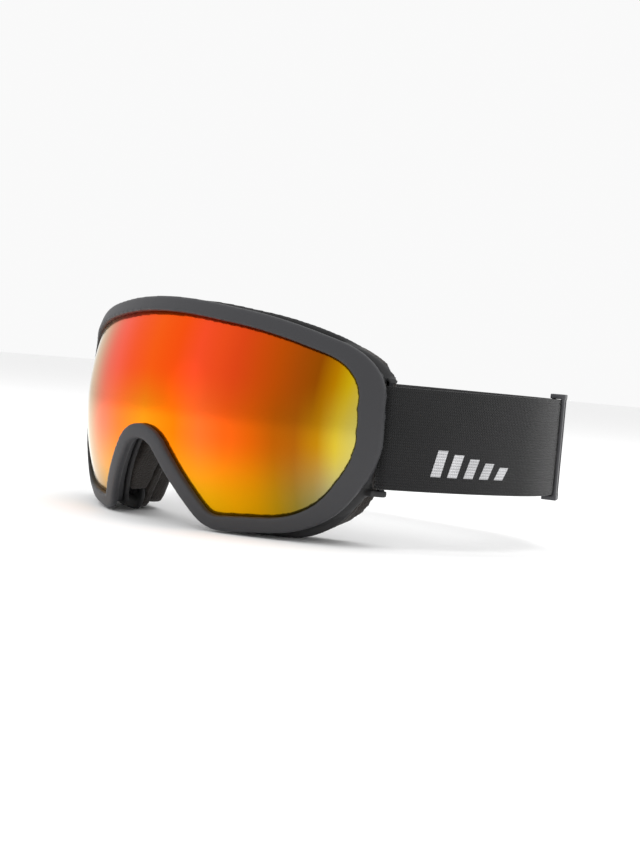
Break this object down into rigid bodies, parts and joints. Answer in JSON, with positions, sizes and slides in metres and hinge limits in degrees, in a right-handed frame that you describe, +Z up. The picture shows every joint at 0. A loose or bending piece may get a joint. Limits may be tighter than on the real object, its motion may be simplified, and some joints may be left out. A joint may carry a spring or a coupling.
{
  "type": "ski goggles",
  "caption": "Ski goggles with a spherical mirrored double lens, vented two-part frame, layered face foam and an elastic strap with length sliders.",
  "frame": {"origin": "under the middle of the whole part's box, on the flat surface that the frame's lower edge stands on", "axes": "+X towards the wearer's left, -Y the way the wearer looks, +Z up"},
  "size_m": [0.2218, 0.169, 0.0915],
  "materials": {
    "rim_plastic": "satin grey",
    "mirror_lens": "orange to yellow mirror coating",
    "clear_lens": "clear, anti-fog",
    "spacer_foam": "closed-cell foam",
    "frame_tpu": "soft black",
    "vent_foam": "open-cell foam",
    "face_foam": "open-cell foam",
    "fleece": "brushed",
    "bar_steel": "plain",
    "webbing": "ribbed elastic weave",
    "grip_silicone": "printed silicone",
    "slider_plastic": "satin"
  },
  "bodies": {
    "goggles": {"front_rim": "rim_plastic", "outer_lens": "mirror_lens", "lens_spacer": "spacer_foam", "inner_lens": "clear_lens", "rear_frame": "frame_tpu", "top_vent_foam": "vent_foam", "left_vent_foam": "vent_foam", "right_vent_foam": "vent_foam", "nose_foam": "face_foam", "face_foam_base": "face_foam", "face_foam_soft": "face_foam", "face_fleece": "fleece", "left_strap_bar": "bar_steel", "right_strap_bar": "bar_steel"},
    "strap_front": {"left_strap_loop": "webbing", "right_strap_loop": "webbing", "left_side_strap": "webbing", "right_side_strap": "webbing", "left_inner_strap": "webbing", "right_inner_strap": "webbing"},
    "strap_back": {"rear_strap": "webbing", "upper_grip_strip": "grip_silicone", "lower_grip_strip": "grip_silicone", "left_return_strap": "webbing", "right_return_strap": "webbing"},
    "slider_left": {"left_slider": "slider_plastic", "left_sewn_end": "webbing"},
    "slider_right": {"right_slider": "slider_plastic", "right_sewn_end": "webbing"}
  },
  "joints": [
    {"name": "strap_tilt", "type": "hinge", "parent": "goggles", "child": "strap_front", "pos_m": [0, -0.03011, 0.043], "axis": [1, 0, 0], "range_deg": [-12, 12], "stiffness_Nm_per_rad": 1.5, "deforming": ["left_strap_loop", "right_strap_loop"]},
    {"name": "strap_stretch", "type": "slide", "parent": "strap_front", "child": "strap_back", "axis": [0, 1, 0], "range_m": [0, 0.035], "stiffness_N_per_m": 120, "deforming": ["left_side_strap", "right_side_strap", "left_inner_strap", "right_inner_strap"]},
    {"name": "left_slider_travel", "type": "hinge", "parent": "strap_back", "child": "slider_left", "pos_m": [0.0603, 0.0339, 0.043], "axis": [0, 0, 1], "range_deg": [-24, 42], "deforming": ["left_return_strap"]},
    {"name": "right_slider_travel", "type": "hinge", "parent": "strap_back", "child": "slider_right", "pos_m": [-0.0603, 0.0339, 0.043], "axis": [0, 0, -1], "range_deg": [-24, 42], "deforming": ["right_return_strap"]}
  ]
}
